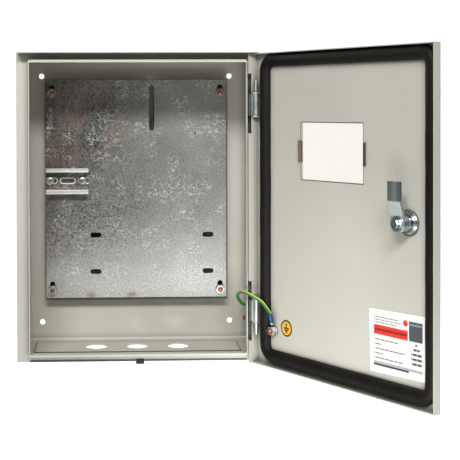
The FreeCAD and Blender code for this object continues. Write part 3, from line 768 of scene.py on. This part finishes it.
def drain_plug(material):
    """Moulded rubber plug: a core in the drain notch and a wider rounded foot below it."""
    core = softened_box("plug_core", (-2.7, -140.6, -198.0), (6.3, -133.1, -194.1), 0.5)
    foot = softened_box("plug_foot", (-3.4, -140.6, -200.6), (7.0, -132.0, -197.0), 1.2)
    piece = joined("drain_plug_rubber", [core, foot])
    finish_piece(piece, "cabinet", material, "black_rubber", "drain_plug")


def lock_seal(material):
    """Rubber ring under the lock flange, with rounded edges."""
    section = [(0.0, 9.45), (0.0, 12.2), (0.3, 12.5), (0.7, 12.5), (1.0, 12.2), (1.0, 9.45)]
    piece = turned_ring("lock_seal_ring", SWING @ LOCK - DOOR_INWARD * MM, DOOR_INWARD, section)
    finish_piece(piece, "door", material, "black_rubber", "lock_seal")


def threaded_rod(name, start, axis, length):
    """M6 stud with a real helical thread and a chamfered tip; its length is in millimetres."""
    thread_radius, thread_depth, pitch = 3.0, 0.45, 1.0
    side = axis.orthogonal().normalized()
    other = axis.cross(side)
    around, per_pitch = 20, 6
    rings = int(length / pitch * per_pitch)
    vertices = []
    for i in range(rings + 1):
        along = length * i / rings
        taper = min(1.0, 0.72 + (length - along) / 1.2)
        for k in range(around):
            groove = 0.5 - 0.5 * math.cos(2 * math.pi * (along / pitch - k / around))
            radius = (thread_radius - thread_depth * groove) * taper
            vertices.append(start + (axis * along + spoke(side, other, k, around) * radius) * MM)
    return mesh_object(name, vertices, ring_faces(rings + 1, around, False))


def studs(material):
    """Threaded studs for the mounting plate and for the two earth connections."""
    rods = [threaded_rod("stud", place, Vector((0.0, -1.0, 0.0)), 32.8) for place in PLATE_STUDS]
    finish_piece(joined("plate_stud_threads", rods), "cabinet", material, "copper_stud", "plate_studs")
    rod = threaded_rod("door_earth_thread", SWING @ DOOR_STUD, DOOR_INWARD, 11.0)
    finish_piece(rod, "door", material, "copper_stud", "door_earth_stud")
    rod = threaded_rod("cabinet_earth_thread", CABINET_STUD, Vector((-1.0, 0.0, 0.0)), 13.6)
    finish_piece(rod, "cabinet", material, "copper_stud", "cabinet_earth_stud")


# ---- finish of the CAD nodes -------------------------------------------------------------------
def paint_nodes(material, *names):
    """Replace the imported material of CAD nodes."""
    for name in names:
        data = NODES[name].data
        data.materials.clear()
        data.materials.append(material)


def finish_nodes():
    """Give every CAD node that stays visible its material."""
    paint_nodes(paint().material, "cabinet_body")
    # painted shade: the door and its hinge brackets get a slightly darker copy of the cabinet's paint
    door_paint = paint("door_powder_coat", rgb(206, 204, 192), rgb(199, 197, 185)).material
    paint_nodes(door_paint, "door_panel", "door_hinge_bracket_upper", "door_hinge_bracket_lower")
    paint_nodes(entry_paint(), "cable_entry_plate")
    paint_nodes(galvanised(), "mounting_plate")
    paint_nodes(rail_zinc(), "din_rail")
    zinc = hardware_zinc()
    paint_nodes(zinc, "plate_backing_nuts")
    leaf = leaf_zinc()
    for side in ("upper", "lower"):
        paint_nodes(zinc, "hinge_pin_" + side)
        paint_nodes(leaf, "hinge_leaf_" + side)
    for place in ("door", "cabinet"):
        paint_nodes(zinc, place + "_earth_washer", place + "_ring_terminal")
    bright = bright_metal()
    paint_nodes(bright, "plate_nuts", "plate_washers", "door_earth_nut", "cabinet_earth_nut")
    paint_nodes(bright, "din_rail_screws")
    paint_nodes(bolt_zinc(), "cam_bolt")
    paint_nodes(dark_chrome(), "lock_housing", "lock_spindle")
    paint_nodes(lock_cam_zinc(), "lock_cam")
    paint_nodes(lock_nut_zinc(), "lock_nut", "cam_washer")
    paint_nodes(pane(), "window_pane")
    paint_nodes(clip_metal("warm_clip", rgb(158, 136, 118), rgb(120, 100, 86)), "window_clip_hinge_side")
    paint_nodes(clip_metal("grey_clip", rgb(92, 90, 86), rgb(62, 60, 58)), "window_clip_lock_side")
    paint_nodes(earth_print(), "earth_sticker")
    paint_nodes(label_print(), "data_label")


# ---- stage -------------------------------------------------------------------------------------
def floor():
    """Pale floor below the object that curves up into a backdrop far behind it."""
    low = cad_box[0].z - 0.30
    near, far, bend, height, half_width = -6.0, 2.5, 1.0, 6.0, 8.0
    outline = [(near, low), (far, low)]
    for k in range(1, 17):
        angle = math.radians(90.0 * k / 16)
        outline.append((far + bend * math.sin(angle), low + bend * (1 - math.cos(angle))))
    outline.append((far + bend, low + height))
    vertices = [Vector((x, y, z)) for y, z in outline for x in (-half_width, half_width)]
    faces = [(2 * i, 2 * i + 1, 2 * i + 3, 2 * i + 2) for i in range(len(outline) - 1)]
    piece = mesh_object("floor", vertices, faces)
    s = surface("pale_floor", rgb(226, 226, 225), rgb(220, 220, 219), 0.85, patch=0.8, rounding=0.0)
    s.link(rgb(255, 255, 255), s.bsdf.inputs["Emission Color"])
    seen = s.add("LightPath").outputs["Is Camera Ray"]
    s.link(s.times(seen, 0.90), s.bsdf.inputs["Emission Strength"])
    piece.data.materials.append(s.material)


def area_light(name, place, target, width, height, power, spread=180.0):
    """Soft rectangular light aimed at a point; spread is the angle of its beam in degrees."""
    data = bpy.data.lights.new(name, "AREA")
    data.shape = "RECTANGLE"
    data.size, data.size_y = width, height
    data.energy = power
    data.spread = math.radians(spread)
    light = bpy.data.objects.new(name, data)
    light.location = place
    light.rotation_mode = "QUATERNION"
    light.rotation_quaternion = (Vector(target) - Vector(place)).to_track_quat("-Z", "Y")
    bpy.context.scene.collection.objects.link(light)


def lights():
    """Soft light above and in front, a weak bounce from below the door, and two weak lights behind."""
    area_light("key", (-0.15, -1.95, 1.25), (0.05, -0.1, 0.0), 1.4, 0.35, 42.0)
    area_light("bounce", (0.12, -0.70, -0.43), (0.23, -0.27, -0.20), 0.30, 0.30, 0.42, spread=55.0)
    for side in (-1, 1):
        area_light("back", (1.5 * side, 1.5, 0.9), (0.0, -0.1, 0.0), 1.0, 0.8, 16.0)


def surround():
    """White surround: bright where the camera looks straight at it, weak as a light on the object."""
    world = bpy.data.worlds.new("surround")
    world.use_nodes = True
    tree = world.node_tree
    background = tree.nodes["Background"]
    background.inputs["Color"].default_value = (1.0, 1.0, 0.99, 1.0)
    seen = tree.nodes.new("ShaderNodeLightPath").outputs["Is Camera Ray"]
    strength = tree.nodes.new("ShaderNodeMapRange")
    strength.inputs["To Min"].default_value = 0.08
    strength.inputs["To Max"].default_value = 1.0
    tree.links.new(seen, strength.inputs["Value"])
    tree.links.new(strength.outputs[0], background.inputs["Strength"])
    bpy.context.scene.world = world
    bpy.context.scene.view_settings.view_transform = "Standard"


def camera():
    """Camera in front of the box, a little above its middle; its shifted lens keeps verticals upright."""
    home = Vector((-0.03274, -1.58421, 0.12804))
    right = Vector((0.999361, -0.035632, -0.0029))
    forward = Vector((0.035589, 0.999273, -0.0137))
    up = right.cross(forward)
    data = bpy.data.cameras.new("camera")
    data.sensor_width = 36.0
    data.lens = 88.59
    eye = bpy.data.objects.new("camera", data)
    eye.matrix_world = Matrix.Translation(home) @ Matrix((right, up, -forward)).transposed().to_4x4()
    bpy.context.scene.collection.objects.link(eye)
    bpy.context.scene.camera = eye
    shift_at_home(eye, home.y, "shift_x", 0.1682)
    shift_at_home(eye, home.y, "shift_y", -0.2331)


def shift_at_home(eye, home_y, channel, shift):
    """Shift the lens only while the camera stands at its own place, so that other views stay centred."""
    driver = eye.data.driver_add(channel).driver
    driver.type = "SCRIPTED"
    place = driver.variables.new()
    place.name = "y"
    place.type = "TRANSFORMS"
    place.targets[0].id = eye
    place.targets[0].transform_type = "LOC_Y"
    driver.expression = f"{shift} if abs(y + {-home_y:.5f}) < 0.0005 else 0.0"


# ---- assembly ----------------------------------------------------------------------------------
finish_nodes()
rubber = black_rubber()
gasket(foam())
earth_wire(wire_insulation())
sleeves(sleeve_plastic())
drain_plug(rubber)
lock_seal(rubber)
studs(copper())
floor()
lights()
surround()
camera()
